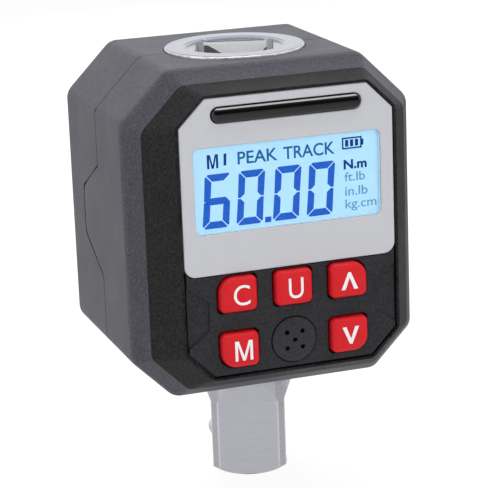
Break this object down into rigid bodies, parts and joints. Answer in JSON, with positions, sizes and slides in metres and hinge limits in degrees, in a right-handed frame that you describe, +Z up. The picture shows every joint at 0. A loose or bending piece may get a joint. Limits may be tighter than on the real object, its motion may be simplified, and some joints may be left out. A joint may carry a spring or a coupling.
{
  "type": "digital torque adapter",
  "caption": "Square drive torque adapter: steel shaft with female and male squares through an eight sided black housing with a lit display, red keys and buzzer.",
  "frame": {"origin": "centre of the male square's end face", "axes": "+Z up the shaft towards the female square, -Y out of the display, +X to the right seen from the front"},
  "size_m": [0.0496, 0.0471, 0.0745],
  "materials": {
    "shaft_steel": "satin alloy steel, the flange polished and plated",
    "small_steel": "bright steel",
    "ball_steel": "polished ball steel",
    "seal_rubber": "matt black rubber",
    "gauge_foil": "foil on amber film",
    "flex_film": "amber flexible circuit",
    "shell_plastic": "fine spark textured black",
    "screw_steel": "blackened steel",
    "panel_plastic": "satin light grey with a glossy rim",
    "fascia_plastic": "fine textured black",
    "lens_plastic": "glossy black, smoked",
    "led_epoxy": "yellowish epoxy",
    "window_clear": "clear window",
    "lcd_glass": "backlit pale blue display with blue segments",
    "white_plastic": "white moulding",
    "light_guide": "milky light guide",
    "contact_metal": "nickel plated",
    "board_green": "green solder resist",
    "chip_black": "matt black moulding",
    "cover_plastic": "satin black",
    "key_red": "satin red with white legends",
    "cell_jacket": "dark printed jacket, plain",
    "lead_red": "red insulation"
  },
  "bodies": {
    "housing": {"torque_shaft": "shaft_steel", "locating_pin": "small_steel", "detent_spring": "small_steel", "upper_o_ring": "seal_rubber", "lower_o_ring": "seal_rubber", "strain_gauges": "gauge_foil", "gauge_ribbon": "flex_film", "front_shell": "shell_plastic", "rear_shell": "shell_plastic", "case_screws": "screw_steel", "display_panel": "panel_plastic", "key_fascia": "fascia_plastic", "indicator_lens": "lens_plastic", "indicator_leds": "led_epoxy", "lcd_window": "window_clear", "lcd_glass": "lcd_glass", "lcd_holder": "white_plastic", "lcd_backlight": "light_guide", "lcd_pins": "contact_metal", "main_board": "board_green", "board_screws": "screw_steel", "amplifier_chip": "chip_black", "controller_chip": "chip_black", "crystal": "contact_metal", "ribbon_connector": "white_plastic", "key_switches": "chip_black", "buzzer": "chip_black", "buzzer_cover": "cover_plastic", "battery_a": "cell_jacket", "battery_b": "cell_jacket", "contact_springs": "contact_metal", "contact_plates": "contact_metal", "battery_leads": "lead_red"},
    "key_c": {"button_c": "key_red"},
    "key_u": {"button_u": "key_red"},
    "key_up": {"button_up": "key_red"},
    "key_m": {"button_m": "key_red"},
    "key_down": {"button_down": "key_red"},
    "detent": {"detent_ball": "ball_steel"},
    "door": {"battery_door": "shell_plastic"},
    "door_fastener": {"door_screw": "screw_steel"}
  },
  "joints": [
    {"name": "key_c_press", "type": "slide", "parent": "housing", "child": "key_c", "axis": [0, 1, 0], "range_m": [0, 0.0005], "stiffness_N_per_m": 900, "springref_m": -0.0004},
    {"name": "key_u_press", "type": "slide", "parent": "housing", "child": "key_u", "axis": [0, 1, 0], "range_m": [0, 0.0005], "stiffness_N_per_m": 900, "springref_m": -0.0004},
    {"name": "key_up_press", "type": "slide", "parent": "housing", "child": "key_up", "axis": [0, 1, 0], "range_m": [0, 0.0005], "stiffness_N_per_m": 900, "springref_m": -0.0004},
    {"name": "key_m_press", "type": "slide", "parent": "housing", "child": "key_m", "axis": [0, 1, 0], "range_m": [0, 0.0005], "stiffness_N_per_m": 900, "springref_m": -0.0004},
    {"name": "key_down_press", "type": "slide", "parent": "housing", "child": "key_down", "axis": [0, 1, 0], "range_m": [0, 0.0005], "stiffness_N_per_m": 900, "springref_m": -0.0004},
    {"name": "detent_press", "type": "slide", "parent": "housing", "child": "detent", "axis": [0.9397, -0.342, 0], "range_m": [0, 0.0007], "stiffness_N_per_m": 2500, "springref_m": -0.0004},
    {"name": "door_lift_off", "type": "slide", "parent": "housing", "child": "door", "axis": [0, 1, 0], "range_m": [0, 0.03]},
    {"name": "door_screw_turn", "type": "hinge", "parent": "door", "child": "door_fastener", "pos_m": [0, 0.0205, 0.04665], "axis": [0, 1, 0], "continuous": true}
  ]
}
